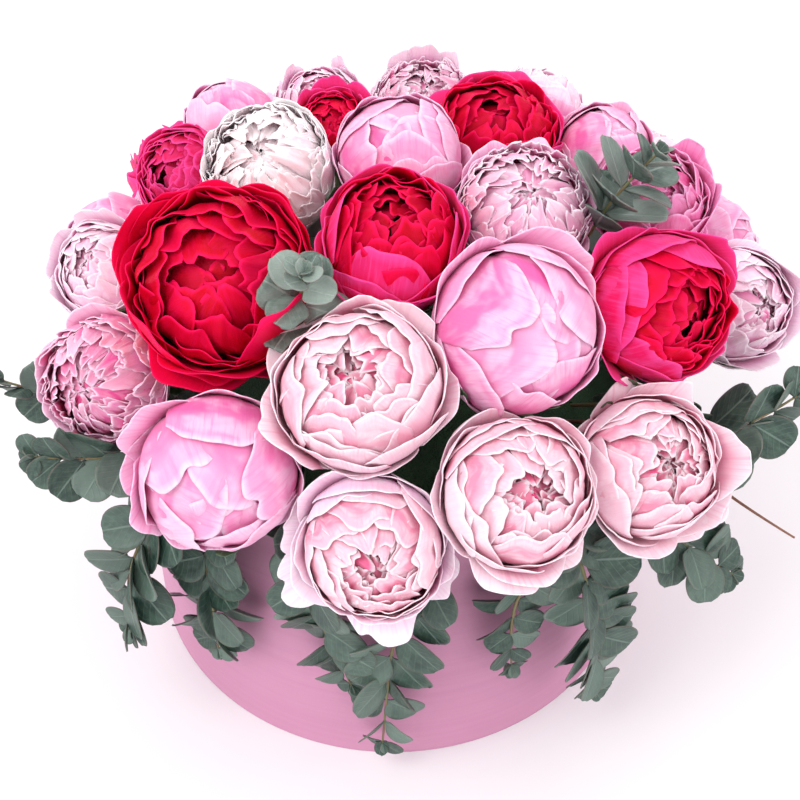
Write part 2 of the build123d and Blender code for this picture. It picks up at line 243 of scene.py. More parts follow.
def leaf_material(name, dark, light, wax):
    """Return a leaf material: mottled green with a pale midrib, side veins and wax."""
    material, tree, shader = new_material(name, 0.46, 0.5)
    place, side, along, tone = attribute(tree, "place")
    mottle = noise(tree, place, (2.4, 3.2, 9.0), detail=4.0)
    colour = ramp(tree, mottle, [(0.30, dark), (0.68, light)])
    pale = calc(tree, "MULTIPLY", calc(tree, "POWER", tone, 2.5), 0.6)
    colour = mix(tree, pale, colour, wax)
    bloom = mask(tree, noise(tree, place, (5.0, 6.0, 7.0), detail=6.0, roughness=0.7), 0.46, 0.7)
    colour = mix(tree, calc(tree, "MULTIPLY", bloom, 0.22), colour, wax)
    middle = calc(tree, "ABSOLUTE", side)
    slant = calc(tree, "MULTIPLY_ADD", middle, -0.34, along, clamp=False)
    wave = calc(tree, "SINE", calc(tree, "MULTIPLY", slant, 46.0, clamp=False), clamp=False)
    side_veins = mask(tree, wave, 0.72, 1.0)
    colour = mix(tree, calc(tree, "MULTIPLY", side_veins, 0.10), colour, wax)
    rib = mask(tree, middle, 0.07, 0.015)
    colour = mix(tree, calc(tree, "MULTIPLY", rib, 0.5), colour, wax)
    edge = mask(tree, middle, 0.90, 1.0)
    colour = mix(tree, calc(tree, "MULTIPLY", edge, 0.35), colour, (0.22, 0.16, 0.14))
    tree.links.new(colour, shader.inputs["Base Color"])
    rough = calc(tree, "MULTIPLY_ADD", bloom, 0.25, 0.42)
    tree.links.new(rough, shader.inputs["Roughness"])
    shader.inputs["Subsurface Weight"].default_value = 0.08
    shader.inputs["Subsurface Radius"].default_value = (0.001, 0.002, 0.001)
    relief = calc(tree, "ADD", calc(tree, "MULTIPLY", side_veins, 0.4), rib)
    bump(tree, shader, relief, 0.5, 0.0005)
    return material


def twig_material(name, green, brown):
    """Return a twig or stem material: streaks along it, and nodes of darker bark."""
    material, tree, shader = new_material(name, 0.55)
    where = object_vector(tree)
    streak = noise(tree, where, (400.0, 400.0, 60.0), detail=4.0)
    colour = ramp(tree, streak, [(0.32, green), (0.7, brown)])
    tree.links.new(colour, shader.inputs["Base Color"])
    bump(tree, shader, streak, 0.4, 0.0004)
    return material


def paper_material(name, colour, shadow, streaks):
    """Return a matte paper: fine fibres, and faint bands that run round the box."""
    material, tree, shader = new_material(name, 0.62, 0.3)
    where = object_vector(tree)
    bands = noise(tree, where, (3.0, 3.0, 210.0), detail=4.0, roughness=0.6)
    clouds = noise(tree, where, (9.0, 9.0, 9.0), detail=3.0)
    fibres = noise(tree, where, (900.0, 900.0, 900.0), detail=3.0, roughness=0.7)
    paint = mix(tree, calc(tree, "MULTIPLY", mask(tree, bands, 0.35, 0.72), streaks), colour, shadow)
    paint = mix(tree, calc(tree, "MULTIPLY", mask(tree, clouds, 0.4, 0.7), 0.25), paint, shadow)
    paint = mix(tree, calc(tree, "MULTIPLY", mask(tree, fibres, 0.45, 0.75), 0.12), paint, shadow)
    tree.links.new(paint, shader.inputs["Base Color"])
    rough = calc(tree, "MULTIPLY_ADD", bands, 0.18, 0.5)
    tree.links.new(rough, shader.inputs["Roughness"])
    bump(tree, shader, calc(tree, "ADD", fibres, calc(tree, "MULTIPLY", bands, 0.6)), 0.25, 0.0003)
    return material


def board_material():
    """Return bare grey board, flecked with darker and lighter pulp."""
    material, tree, shader = new_material("grey_board", 0.85, 0.2)
    where = object_vector(tree)
    pulp = noise(tree, where, (500.0, 500.0, 500.0), detail=5.0, roughness=0.7)
    stops = [(0.35, (0.24, 0.22, 0.20)), (0.5, (0.40, 0.38, 0.35)), (0.7, (0.52, 0.50, 0.46))]
    colour = ramp(tree, pulp, stops)
    tree.links.new(colour, shader.inputs["Base Color"])
    bump(tree, shader, pulp, 0.4, 0.0004)
    return material


def foam_material():
    """Return wet floral foam: dark green, with fine open pores whose centres are painted darker as painted
    shade, and crumbs.
    """
    material, tree, shader = new_material("wet_foam", 0.7, 0.4)
    where = object_vector(tree)
    cells = tree.nodes.new("ShaderNodeTexVoronoi")
    cells.inputs["Scale"].default_value = 900.0
    tree.links.new(where, cells.inputs["Vector"])
    damp = noise(tree, where, (22.0, 22.0, 22.0), detail=4.0)
    colour = ramp(tree, damp, [(0.3, (0.012, 0.045, 0.022)), (0.7, (0.045, 0.12, 0.05))])
    # painted shade: the middle of each pore is darkened where shade falls inside it
    pore_shade = mask(tree, cells.outputs["Distance"], 0.5, 0.1)
    colour = mix(tree, calc(tree, "MULTIPLY", pore_shade, 0.6), colour, (0.006, 0.02, 0.01))
    tree.links.new(colour, shader.inputs["Base Color"])
    bump(tree, shader, cells.outputs["Distance"], 0.6, 0.0008)
    return material


def liner_material():
    """Return the clear plastic of the liner, with faint ripples from moulding."""
    material, tree, shader = new_material("clear_liner", 0.12, 0.5)
    where = object_vector(tree)
    ripple = noise(tree, where, (30.0, 30.0, 240.0), detail=3.0)
    colour = ramp(tree, ripple, [(0.3, (0.80, 0.86, 0.87)), (0.7, (0.92, 0.95, 0.96))])
    tree.links.new(colour, shader.inputs["Base Color"])
    shader.inputs["Transmission Weight"].default_value = 0.85
    shader.inputs["IOR"].default_value = 1.49
    bump(tree, shader, ripple, 0.15, 0.0004)
    return material


# ------------------------------------------------------------------ mesh building


class Mesh:
    """Collects closed shells as one mesh with two vector attributes."""

    def __init__(self):
        self.points, self.faces, self.places, self.looks, self.parts = [], [], [], [], []
        self.count = 0

    def add(self, points, faces, places, looks, part=0):
        self.faces.append(np.asarray(faces) + self.count)
        self.points.append(points)
        self.places.append(places)
        self.looks.append(looks)
        self.parts.append(np.full(len(faces), part))
        self.count += len(points)

    def build(self, name, materials, body, slot, *nodes):
        """Make the object, and say what it rides on and which CAD nodes it replaces."""
        points = np.concatenate(self.points)
        faces = np.concatenate(self.faces).astype(np.int32)
        mesh = bpy.data.meshes.new(name)
        mesh.vertices.add(len(points))
        mesh.vertices.foreach_set("co", points.ravel())
        mesh.loops.add(faces.size)
        mesh.loops.foreach_set("vertex_index", faces.ravel())
        mesh.polygons.add(len(faces))
        mesh.polygons.foreach_set("loop_start", np.arange(0, faces.size, 4, dtype=np.int32))
        mesh.update(calc_edges=True)
        for label, values in (("place", self.places), ("look", self.looks)):
            data = mesh.attributes.new(label, "FLOAT_VECTOR", "POINT")
            data.data.foreach_set("vector", np.concatenate(values).astype(np.float32).ravel())
        for material in materials:
            mesh.materials.append(material)
        mesh.polygons.foreach_set("material_index", np.concatenate(self.parts).astype(np.int32))
        mesh.polygons.foreach_set("use_smooth", np.ones(len(faces), dtype=bool))
        piece = bpy.data.objects.new(name, mesh)
        bpy.context.scene.collection.objects.link(piece)
        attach(piece, body)
        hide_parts(*nodes)
        return piece


def grid_faces(rows, columns, around=False):
    """Return the quads of a grid of points, closed round its columns when asked."""
    index = np.arange(rows * columns).reshape(rows, columns)
    if around:
        index = np.concatenate([index, index[:, :1]], axis=1)
    quads = [index[:-1, :-1], index[:-1, 1:], index[1:, 1:], index[1:, :-1]]
    return np.stack(quads, axis=-1).reshape(-1, 4)


def closed_sheet(grid, thickness):
    """Return points and quads of a grid of points made into a thin closed shell."""
    rows, columns = grid.shape[:2]
    normal = np.cross(np.gradient(grid, axis=1), np.gradient(grid, axis=0))
    normal = normal / np.maximum(np.linalg.norm(normal, axis=-1, keepdims=True), 1e-12)
    back = grid - normal * thickness
    size = rows * columns
    index = np.arange(size).reshape(rows, columns)
    border = np.concatenate([index[0, :], index[1:, -1], index[-1, -2::-1], index[-2:0:-1, 0]])
    following = np.roll(border, -1)
    rim = np.stack([border, border + size, following + size, following], axis=-1)
    front = grid_faces(rows, columns)
    faces = np.concatenate([front, front[:, ::-1] + size, rim])
    return np.concatenate([grid.reshape(-1, 3), back.reshape(-1, 3)]), faces


def waves(rng, across, along, octaves):
    """Return a smooth random wave over a grid, as a sum of sines."""
    total = np.zeros_like(across)
    for frequency, size in octaves:
        turn = rng.uniform(0, 2 * math.pi)
        lean = rng.uniform(-0.8, 0.8)
        total = total + size * np.sin(frequency * (across + lean * along) * math.pi + turn)
    return total


# ------------------------------------------------------------------ room round the flowers

RIM_RADIUS = 0.1525
RIM_HEIGHT = 0.2025
FOAM_EDGE = 0.141
FOAM_SHOULDER = 0.158
FOAM_CROWN = 0.234


def make_room(points, balls, own=None, gap=0.0):
    """Push points out of the other flowers, the box wall and the foam."""
    for _ in range(3):
        for number, (centre, radius) in enumerate(balls):
            if number == own:
                continue
            away = points - centre
            distance = np.linalg.norm(away, axis=-1, keepdims=True)
            near = distance < radius + gap
            if near.any():
                moved = centre + away * (radius + gap) / np.maximum(distance, 1e-6)
                points = np.where(near, moved, points)
    reach = np.hypot(points[..., 0], points[..., 1])
    in_wall = (reach > FOAM_EDGE) & (reach < RIM_RADIUS) & (points[..., 2] < RIM_HEIGHT)
    sideways = in_wall & (RIM_RADIUS - reach < RIM_HEIGHT - points[..., 2])
    share = np.where(sideways, RIM_RADIUS / np.maximum(reach, 1e-6), 1.0)
    points[..., 0] *= share
    points[..., 1] *= share
    points[..., 2] = np.where(in_wall & ~sideways, RIM_HEIGHT, points[..., 2])
    soil = FOAM_SHOULDER + (FOAM_CROWN - FOAM_SHOULDER) * (1 - (reach / FOAM_EDGE) ** 2)
    points[..., 2] = np.where(reach < FOAM_EDGE, np.maximum(points[..., 2], soil), points[..., 2])
    return points


# ------------------------------------------------------------------ petals

PETAL_THICKNESS = 0.0005
LIP_START = 0.62  # where along a petal its lip begins to wave
SIDE_START = 0.55  # where across a petal its sides begin to wave
ROLL_START = 0.86  # where along a petal its lip begins to roll out
BASE_WIDTH = 0.30  # a petal's width at its base, as a share of its full width
BASE_DEPTH = 0.86  # how near a petal's base is to the middle, as a share of its shell
BASE_RISE = 0.30
LUMP_SPREAD = 0.25  # how far over the head a lump reaches
NEAR_SKIN = 0.97  # a petal past this share of its head can reach a neighbour


def petal(rng, mesh, head, azimuth, shell, lip, width, **shape):
    """Add one petal: a patch that follows a ball from the head's base to its lip.

    shell is the ball's radius as a share of the head's, lip the angle between the way the
    head faces and the lip, and width the petal's half width as an angle, in degrees.
    """
    rows, columns = shape.get("grid", (18, 18))
    start = shape.get("start", 160)
    ruffle = shape.get("ruffle", 0.02)
    curl = shape.get("curl", 0.0)
    side, rise = np.meshgrid(np.linspace(-1, 1, columns), np.linspace(0, 1, rows))
    rise = 1 - (1 - rise) ** 1.3
    lobes = waves(rng, side, side * 0, [(0.9, 0.6), (2.1, 0.4), (4.3, 0.14)])
    cleft = np.exp(-(((side - rng.uniform(-0.3, 0.3)) / 0.16) ** 2)) * shape.get("cleft", 0.0)
    reach = 1 - shape.get("rounding", 0.24) * np.abs(side) ** 2.5
    reach = reach + shape.get("notch", 0.03) * lobes - cleft
    along = rise * reach
    polar = np.radians(start + (lip - start) * along)
    spread = BASE_WIDTH + (1 - BASE_WIDTH) * np.sin(np.minimum(along / LIP_START, 1) * math.pi / 2)
    across = math.radians(width) * side * spread

    edge = np.clip((along - LIP_START) / (1 - LIP_START), 0, 1.2)
    flank = np.clip((np.abs(side) - SIDE_START) / (1 - SIDE_START), 0, 1)
    rim = np.maximum(edge, flank * np.clip(along * 2 - 0.5, 0, 1))
    fine = shape.get("fine", 1.0)
    frill = waves(rng, side, along, [(1.4 * fine, 0.6), (2.9 * fine, 0.4), (5.2 * fine, 0.14)])
    folds = waves(rng, side, along * 0.25, [(1.3 * fine, 0.5), (2.9 * fine, 0.35), (5.6 * fine, 0.2)])
    far = shell * np.minimum(1.0, BASE_DEPTH + BASE_RISE * along)
    far = far * (1 + shape.get("tuck", 0.035) * side)
    far = far + ruffle * frill * rim**1.4 + shape.get("fold", 0.010) * folds * (0.25 + along)
    rolled = np.clip((along - ROLL_START) / (1 - ROLL_START), 0, 1.2)
    far = far + curl * edge**2 + shape.get("roll", 0.0) * rolled**2
    across = across + math.radians(40) * ruffle * waves(rng, side, along, [(2.1, 0.5)]) * edge

    turn = math.radians(azimuth) + shape.get("twist", 0.0) * along
    ahead = np.stack([np.sin(polar) * np.cos(turn), np.sin(polar) * np.sin(turn), np.cos(polar)], axis=-1)
    aside = np.stack([-np.sin(turn), np.cos(turn), 0 * turn], axis=-1)
    grid = ahead * np.cos(across)[..., None] + aside * np.sin(across)[..., None]
    for direction, size in head["lumps"]:
        far = far * (1 + size * np.exp((grid @ direction - 1) / LUMP_SPREAD))
    grid = grid * far[..., None] * head["radius"]
    limit = head["radius"] * shape.get("limit", 1.03)
    distance = np.linalg.norm(grid, axis=-1, keepdims=True)
    grid = np.where(distance > limit, grid * limit / np.maximum(distance, 1e-9), grid)
    grid = grid @ head["turn"].T + head["centre"]
    if far.max() > NEAR_SKIN:
        grid = make_room(grid, head["balls"], head["own"])
    points, faces = closed_sheet(grid, shape.get("thickness", PETAL_THICKNESS))

    tone = rng.random()
    from_lip = 1 - (1 - rise) * (start - lip) / shape.get("span", 36)
    place = np.stack([side.ravel(), from_lip.ravel(), np.full(side.size, tone)], axis=-1)
    # how much of the deep colour this petal takes: its deeper heart colour and painted shade for the
    # recesses
    depth = np.full(side.size, shape.get("depth", 0.0))
    front = np.stack([0 * depth, depth, 0 * depth], axis=-1)
    back = np.stack([0 * depth + 1, depth, 0 * depth], axis=-1)
    places = np.concatenate([place, place])
    mesh.add(points, faces, places, np.concatenate([front, back]), shape.get("part", 0))


GOLDEN_ANGLE = 137.5


def ring(rng, mesh, head, count, shell, lip, width, vary=4.0, **shape):
    """Add a ring of petals round the head, each a little different from the next."""
    begin = rng.uniform(0, 360)
    for number in range(count):
        azimuth = begin + 360 * (number + rng.uniform(-0.18, 0.18)) / count
        one_lip = lip + rng.uniform(-vary, vary)
        one_shell = shell * (1 + rng.uniform(-0.012, 0.012))
        petal(rng, mesh, head, azimuth, one_shell, one_lip, width * rng.uniform(0.9, 1.12), **shape)


def crowd(rng, mesh, head, count, first, last, low, high, widths, jitter, **shape):
    """Add petals in a spiral, their lips from the angle first to last."""
    for number in range(count):
        share = (number + 0.5) / count
        lip = first + (last - first) * math.sqrt(share) + rng.uniform(-5, 5)
        shell = low + (high - low) * share**0.6 + rng.uniform(-jitter, jitter)
        width = widths[0] + (widths[1] - widths[0]) * share
        one = dict(shape)
        one["curl"] = shape.get("curl", 0.0) + rng.uniform(-0.04, 0.05)
        one["twist"] = rng.uniform(-0.25, 0.25)
        # petals nearer the middle take more of the deep colour, partly painted shade in the heart
        one["depth"] = shape.get("depth", 0.4) * (1 - share) + rng.uniform(0, 0.2)
        petal(rng, mesh, head, number * GOLDEN_ANGLE, shell, lip, width * rng.uniform(0.8, 1.25), **one)


BIG = {"grid": (28, 34), "start": 168, "span": 70}
OUTER_SHELL = 0.995
GUARD_TURN = 47  # how far the outermost petals turn from one head to the next, in degrees


def guard(rng, mesh, head, count, lip, width, flare, **shape):
    """Add the outermost petals, which open away from the ball where there is room."""
    for number in range(count):
        azimuth = 360 * (number + rng.uniform(-0.25, 0.25)) / count + head["own"] * GUARD_TURN
        out = flare * head["spread"] * rng.uniform(0.2, 1.0)
        one = dict(BIG, span=130, curl=out, roll=0.02, limit=1.03 + out, ruffle=0.04, tuck=0.03)
        one.update(fine=0.7, part=1)
        one.update(shape)
        one_lip = lip + rng.uniform(-12, 10)
        petal(rng, mesh, head, azimuth, OUTER_SHELL, one_lip, width * rng.uniform(0.85, 1.15), **one)


def heart(rng, mesh, head, count, widths=(16, 22), depth=0.8, fine=1.0):
    """Fill the middle of a head with small crumpled petals that stand close together."""
    crowd(
        rng, mesh, head, count, -18, 30, 0.50, 0.80, widths, 0.06,
        ruffle=0.06, notch=0.08, depth=depth, cleft=0.05, fold=0.02, grid=(14, 14), start=130, fine=fine,
    )


def globe_head(rng, mesh, head):
    """A closed bud: broad smooth petals that wrap over its top."""
    broad = dict(BIG, span=46)
    heart(rng, mesh, head, 10)
    ring(rng, mesh, head, 3, 0.85, -14, 48, vary=8, depth=0.25, **broad)
    ring(rng, mesh, head, 3, 0.895, -8, 52, vary=10, depth=0.15, fold=0.018, roll=0.02, **broad)
    ring(rng, mesh, head, 3, 0.935, 12, 50, vary=16, fold=0.020, roll=0.03, ruffle=0.035, **broad)
    ring(rng, mesh, head, 4, 0.965, 36, 42, vary=16, fold=0.018, roll=0.04, cleft=0.05, part=1, **broad)
    ring(
        rng, mesh, head, 4, 0.99, 64, 40, vary=18, fold=0.016, roll=0.05, curl=0.03, limit=1.1,
        part=1, **broad,
    )
    guard(rng, mesh, head, 5, 90, 38, 0.24)


def cup_head(rng, mesh, head):
    """A cupped head: nested shells of broad petals round a crumpled heart."""
    heart(rng, mesh, head, 34, (15, 22), 1.0)
    layers = (
        (0.79, 17, 22, 5), (0.82, 23, 25, 5), (0.85, 29, 29, 5), (0.88, 36, 33, 5), (0.91, 44, 38, 4),
        (0.935, 52, 42, 4),
    )
    for shell, lip, width, count in layers:
        ring(
            rng, mesh, head, count, shell, lip, width, vary=7, ruffle=0.035, depth=0.25 * (1 - lip / 60),
            roll=0.04, notch=0.05, fold=0.016, cleft=0.03, grid=(22, 24), span=24,
        )
    ring(rng, mesh, head, 4, 0.96, 62, 44, vary=12, fold=0.016, roll=0.05, cleft=0.04, part=1, **BIG)
    ring(
        rng, mesh, head, 4, 0.985, 76, 42, vary=14, fold=0.016, roll=0.05, curl=0.04, limit=1.1,
        part=1, **BIG,
    )
    guard(rng, mesh, head, 5, 92, 40, 0.26)


def open_head(rng, mesh, head):
    """An open head: a crowd of waved petals inside broad smooth ones."""
    reach = head["open"]
    heart(rng, mesh, head, 14, (24, 32), 0.55, 0.7)
    crowd(
        rng, mesh, head, 30, 10, reach, 0.76, 0.94, (26, 40), 0.035,
        ruffle=0.075, notch=0.04, cleft=0.03, depth=0.4, fold=0.030, roll=0.05, fine=0.7, grid=(26, 28),
    )
    ring(
        rng, mesh, head, 4, 0.975, reach, 44, vary=10, ruffle=0.04, fold=0.02, roll=0.06, cleft=0.03,
        fine=0.7, part=1, **BIG,
    )
    ring(
        rng, mesh, head, 5, 0.985, 0.5 * reach + 42, 44, vary=14, ruffle=0.05, fold=0.024, roll=0.06,
        curl=0.05, limit=1.12, fine=0.7, part=1, **BIG,
    )
    guard(rng, mesh, head, 6, 88, 40, 0.26, fold=0.024, fine=0.7)


def ruffle_head(rng, mesh, head):
    """A full ball of narrow ragged petals over broad ones."""
    heart(rng, mesh, head, 40, (12, 17), 0.8)
    crowd(
        rng, mesh, head, 74, 8, 80, 0.79, 0.99, (12, 22), 0.045,
        ruffle=0.05, notch=0.08, cleft=0.06, depth=0.3, fold=0.02, roll=0.04, grid=(18, 16), span=28,
    )
    ring(
        rng, mesh, head, 5, 0.98, 72, 36, vary=16, ruffle=0.03, roll=0.05, cleft=0.05, curl=0.04, limit=1.1,
        part=1, **BIG,
    )
    guard(rng, mesh, head, 6, 90, 36, 0.26)


HEADS = {"globe": globe_head, "cup": cup_head, "open": open_head, "ruffle": ruffle_head}

# form, colours inside and of the outer petals, azimuth and height that it faces, slot
BLOOMS = {
    "peony_crimson_large": ("open", "crimson", "crimson", -94, 52, "crimson_petal"),
    "peony_crimson_centre": ("open", "crimson", "rose", -66, 76, "crimson_petal"),
    "peony_crimson_right": ("open", "crimson", "rose", -52, 26, "crimson_petal"),
    "peony_crimson_top": ("open", "crimson", "rose", -90, 72, "crimson_petal"),
    "peony_crimson_small": ("open", "crimson", "rose", -90, 60, "crimson_petal"),
    "peony_crimson_left": ("open", "rose", "rose", -127, 46, "crimson_petal"),
    "peony_blush_centre": ("cup", "blush", "blush", -100, 60, "blush_petal"),
    "peony_blush_low": ("cup", "blush", "blush", -73, 52, "blush_petal"),
    "peony_blush_right": ("cup", "blush", "blush", -66, 46, "blush_petal"),
    "peony_blush_front": ("cup", "blush", "pale", -88, 30, "blush_petal"),
    "peony_globe_centre": ("globe", "pink", "pink", -56, 30, "pink_petal"),
    "peony_globe_left": ("globe", "pink", "pink", -85, 16, "pink_petal"),
    "peony_globe_top": ("globe", "pink", "pink", -90, 72, "pink_petal"),
    "peony_ruffle_top": ("ruffle", "pale", "pink", -81, 60, "pink_petal"),
    "peony_ruffle_left": ("ruffle", "ruffle", "ruffle", -110, 30, "pink_petal"),
    "peony_white_left": ("ruffle", "white", "white", -108, 55, "white_petal"),
    "peony_pink_back": ("ruffle", "pale", "pale", -90, 70, "pink_petal"),
    "peony_pink_back_left": ("cup", "pale", "pale", -113, 74, "pink_petal"),
    "peony_pink_back_right": ("globe", "pink", "pink", -90, 64, "pink_petal"),
    "peony_magenta_right": ("open", "magenta", "magenta", -72, 70, "magenta_petal"),
    "peony_pale_left": ("cup", "pale", "pale", -129, 53, "blush_petal"),
    "peony_pale_right": ("cup", "pale", "pale", -60, 34, "blush_petal"),
    "peony_rear_right": ("globe", "pink", "pink", 15, 30, "pink_petal"),
    "peony_rear_blush": ("cup", "blush", "blush", 38, 30, "blush_petal"),
    "peony_rear_crimson": ("open", "crimson", "rose", 62, 28, "crimson_petal"),
    "peony_rear_centre": ("cup", "blush", "blush", 86, 30, "blush_petal"),
    "peony_rear_ruffle": ("ruffle", "pale", "pink", 108, 30, "pink_petal"),
    "peony_rear_rose": ("open", "rose", "rose", 136, 28, "crimson_petal"),
    "peony_rear_left": ("globe", "pink", "pink", 165, 30, "pink_petal"),
    "peony_rear_upper_right": ("cup", "pale", "pink", 60, 56, "pink_petal"),
    "peony_rear_upper_left": ("globe", "pink", "pink", 134, 56, "pink_petal"),
}


# how far round from the middle the waved petals of an open head reach, in degrees
USUAL_OPENING = 62
OPENING = {
    "peony_crimson_large": 78, "peony_crimson_top": 72, "peony_crimson_centre": 50,
    "peony_crimson_right": 48,
}

# how far the outermost petals of a head stand away from it, as a share of the usual
SPREAD = {
    "peony_white_left": 0.25, "peony_globe_top": 0.4, "peony_pink_back_left": 0.3, "peony_pale_left": 0.6,
    "peony_crimson_left": 0.5, "peony_crimson_small": 1.3,
}


def facing(azimuth, height):
    """Return the rotation that turns +Z to face an azimuth and a height in degrees."""
    turn, tall = math.radians(azimuth), math.radians(height)
    ahead = Vector((math.cos(tall) * math.cos(turn), math.cos(tall) * math.sin(turn), math.sin(tall)))
    return np.array(ahead.to_track_quat("Z", "Y").to_matrix())


# loose outer petals: azimuth and height of the way each one leans, half width, flare
LOOSE = {
    "peony_globe_left": ((176, 40, 34, 0.30), (-150, -10, 30, 0.20)),
    "peony_blush_front": (
        (-172, -28, 30, 0.46), (-78, -58, 32, 0.40), (170, 10, 30, 0.30), (-10, -30, 28, 0.22),
    ),
    "peony_blush_right": ((-8, 14, 36, 0.30), (-24, -30, 34, 0.26), (60, 40, 30, 0.24)),
    "peony_pale_right": ((-20, -10, 40, 0.16), (-8, 35, 38, 0.14), (-70, -20, 36, 0.24)),
    "peony_blush_low": ((-100, -40, 34, 0.24), (-40, -40, 34, 0.22)),
    "peony_blush_centre": ((-60, 10, 34, 0.26), (-150, 0, 34, 0.26)),
    "peony_crimson_large": (
        (-60, 20, 36, 0.26), (-130, 10, 38, 0.16), (160, 30, 36, 0.16), (-95, -10, 38, 0.24),
    ),
    "peony_crimson_right": ((150, 45, 44, 0.26), (-160, 10, 40, 0.26), (20, 30, 36, 0.20)),
    "peony_crimson_centre": ((-120, 0, 40, 0.26), (-40, 10, 38, 0.26)),
    "peony_pale_left": ((170, 20, 38, 0.16), (-150, 0, 36, 0.16), (120, 50, 34, 0.2)),
    "peony_ruffle_left": ((-170, 10, 36, 0.10), (-120, -40, 34, 0.20)),
    "peony_white_left": ((-120, -10, 30, 0.16), (-150, 20, 30, 0.16)),
    "peony_crimson_small": ((96, 56, 34, 0.34), (150, 50, 32, 0.28), (36, 46, 34, 0.32), (-10, 50, 30, 0.2)),
    "peony_pink_back": ((92, 62, 26, 0.24), (128, 50, 24, 0.18), (58, 48, 25, 0.20)),
    "peony_pink_back_left": ((150, 50, 24, 0.20), (60, 56, 22, 0.22)),
    "peony_magenta_right": ((30, 40, 34, 0.26), (-20, 20, 36, 0.2)),
}

NARROW = 27  # a loose petal with a smaller half width has a rounder lip


def loose_petal(rng, mesh, head, azimuth, height, width, flare):
    """Add one outer petal that leans away from the head in a given direction."""
    turn, tall = math.radians(azimuth), math.radians(height)
    lean = np.array([math.cos(tall) * math.cos(turn), math.cos(tall) * math.sin(turn), math.sin(tall)])
    local = head["turn"].T @ lean
    around = math.degrees(math.atan2(local[1], local[0]))
    polar = math.degrees(math.acos(local[2]))
    rounding = 0.24 if width > NARROW else 0.42
    shape = dict(BIG, span=130, curl=flare, roll=0.05, limit=1.04 + flare, ruffle=0.06)
    shape["rounding"] = rounding
    shape.update(fold=0.02, cleft=0.03, fine=0.6, part=1)
    petal(rng, mesh, head, around, OUTER_SHELL, polar, width, **shape)


def lumps(rng):
    """Return a few directions in which a head bulges or is flattened, and how much."""
    found = []
    for _ in range(7):
        turn, height = rng.uniform(0, 2 * math.pi), rng.uniform(-0.4, 1)
        flat = math.sqrt(1 - height**2)
        direction = np.array([flat * math.cos(turn), flat * math.sin(turn), height])
        found.append((direction, rng.uniform(-0.09, 0.055)))
    return found


def ball_of(node):
    """Return the centre and radius of the ball that a flower's CAD solid fills."""
    low, high = (np.array(corner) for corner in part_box(node))
    return (low + high) / 2, float((high - low).max() / 2)


PETAL_SEED = 1
LUMP_SEED = 500
petals = {name: petal_material(name) for name in PETAL_COLOURS}
balls = [ball_of(node) for node in BLOOMS]
for number, (node, (form, inner, outer, azimuth, height, slot)) in enumerate(BLOOMS.items()):
    centre, radius = balls[number]
    head = {"centre": centre, "radius": radius, "turn": facing(azimuth, height), "own": number}
    head["balls"] = balls
    head["open"] = OPENING.get(node, USUAL_OPENING)
    head["spread"] = SPREAD.get(node, 1.0)
    head["lumps"] = lumps(random.Random(LUMP_SEED + number))
    flower = Mesh()
    HEADS[form](random.Random(PETAL_SEED + number), flower, head)
    for azimuth, height, width, flare in LOOSE.get(node, ()):
        loose_petal(random.Random(azimuth), flower, head, azimuth, height, width, flare)
    flower.build(node + "_petals", [petals[inner], petals[outer]], "arrangement", slot, node)

# ------------------------------------------------------------------ stems and sepals

STEM_RADIUS = 0.003
STEM_LEAN = 0.42  # a stem foot's distance from the box's axis, as a share of its head's
STEM_FOOT = 0.174
STEM_MARKS = 6
RIM_EDGE = 0.150
RIM_CLEAR = 0.209  # a stem that leans out passes the rim at this height
FOOT_MARGIN = 0.002
CALYX_REACH = 0.9  # how far below a head's centre its calyx ends, as a share of the radius
CALYX_STARTS = 0.006
CALYX_SWELLS = 0.003
CALYX_SHARES = (0.16, 0.26)
SEPALS = 5
SEPAL_SEED = 100


def tube(mesh, line, radii, sides=10, part=0):
    """Add a closed tube along a line of points, with a radius at each point."""
    line = np.asarray(line, float)
    ahead = np.gradient(line, axis=0)
    ahead = ahead / np.linalg.norm(ahead, axis=1, keepdims=True)
    first = np.cross(ahead[0], (0.3, 0.2, 0.93))
    rings = []
    for point, direction, radius in zip(line, ahead, radii):
        first = first - direction * first.dot(direction)
        first = first / np.linalg.norm(first)
        second = np.cross(direction, first)
        turns = np.arange(sides) * 2 * math.pi / sides
        rings.append([point + radius * (math.cos(t) * first + math.sin(t) * second) for t in turns])
    grid = np.array(rings)
    faces = grid_faces(len(line), sides, around=True)
    ends = [[0, corner, corner + 1, corner + 2] for corner in range(1, sides - 2, 2)]
    start = np.array(ends)[:, ::-1]
    last = np.array(ends) + (len(line) - 1) * sides
    faces = np.concatenate([faces, start, last])
    along = np.linspace(0, 1, len(line)).repeat(sides)
    place = np.stack([0 * along, along, 0 * along + 0.5], axis=-1)
    mesh.add(grid.reshape(-1, 3), faces, place, 0 * place, part)


def sepal(rng, mesh, head, azimuth, shell, lip, width, part=1):
    """Add one pointed green leaf that hugs a head from below."""
    petal(
        rng, mesh, head, azimuth, shell, lip, width, grid=(18, 9), start=172, rounding=0.62, notch=0.0,
        ruffle=0.01, curl=rng.uniform(0.0, 0.10), limit=1.2, fold=0.008, part=part,
    )


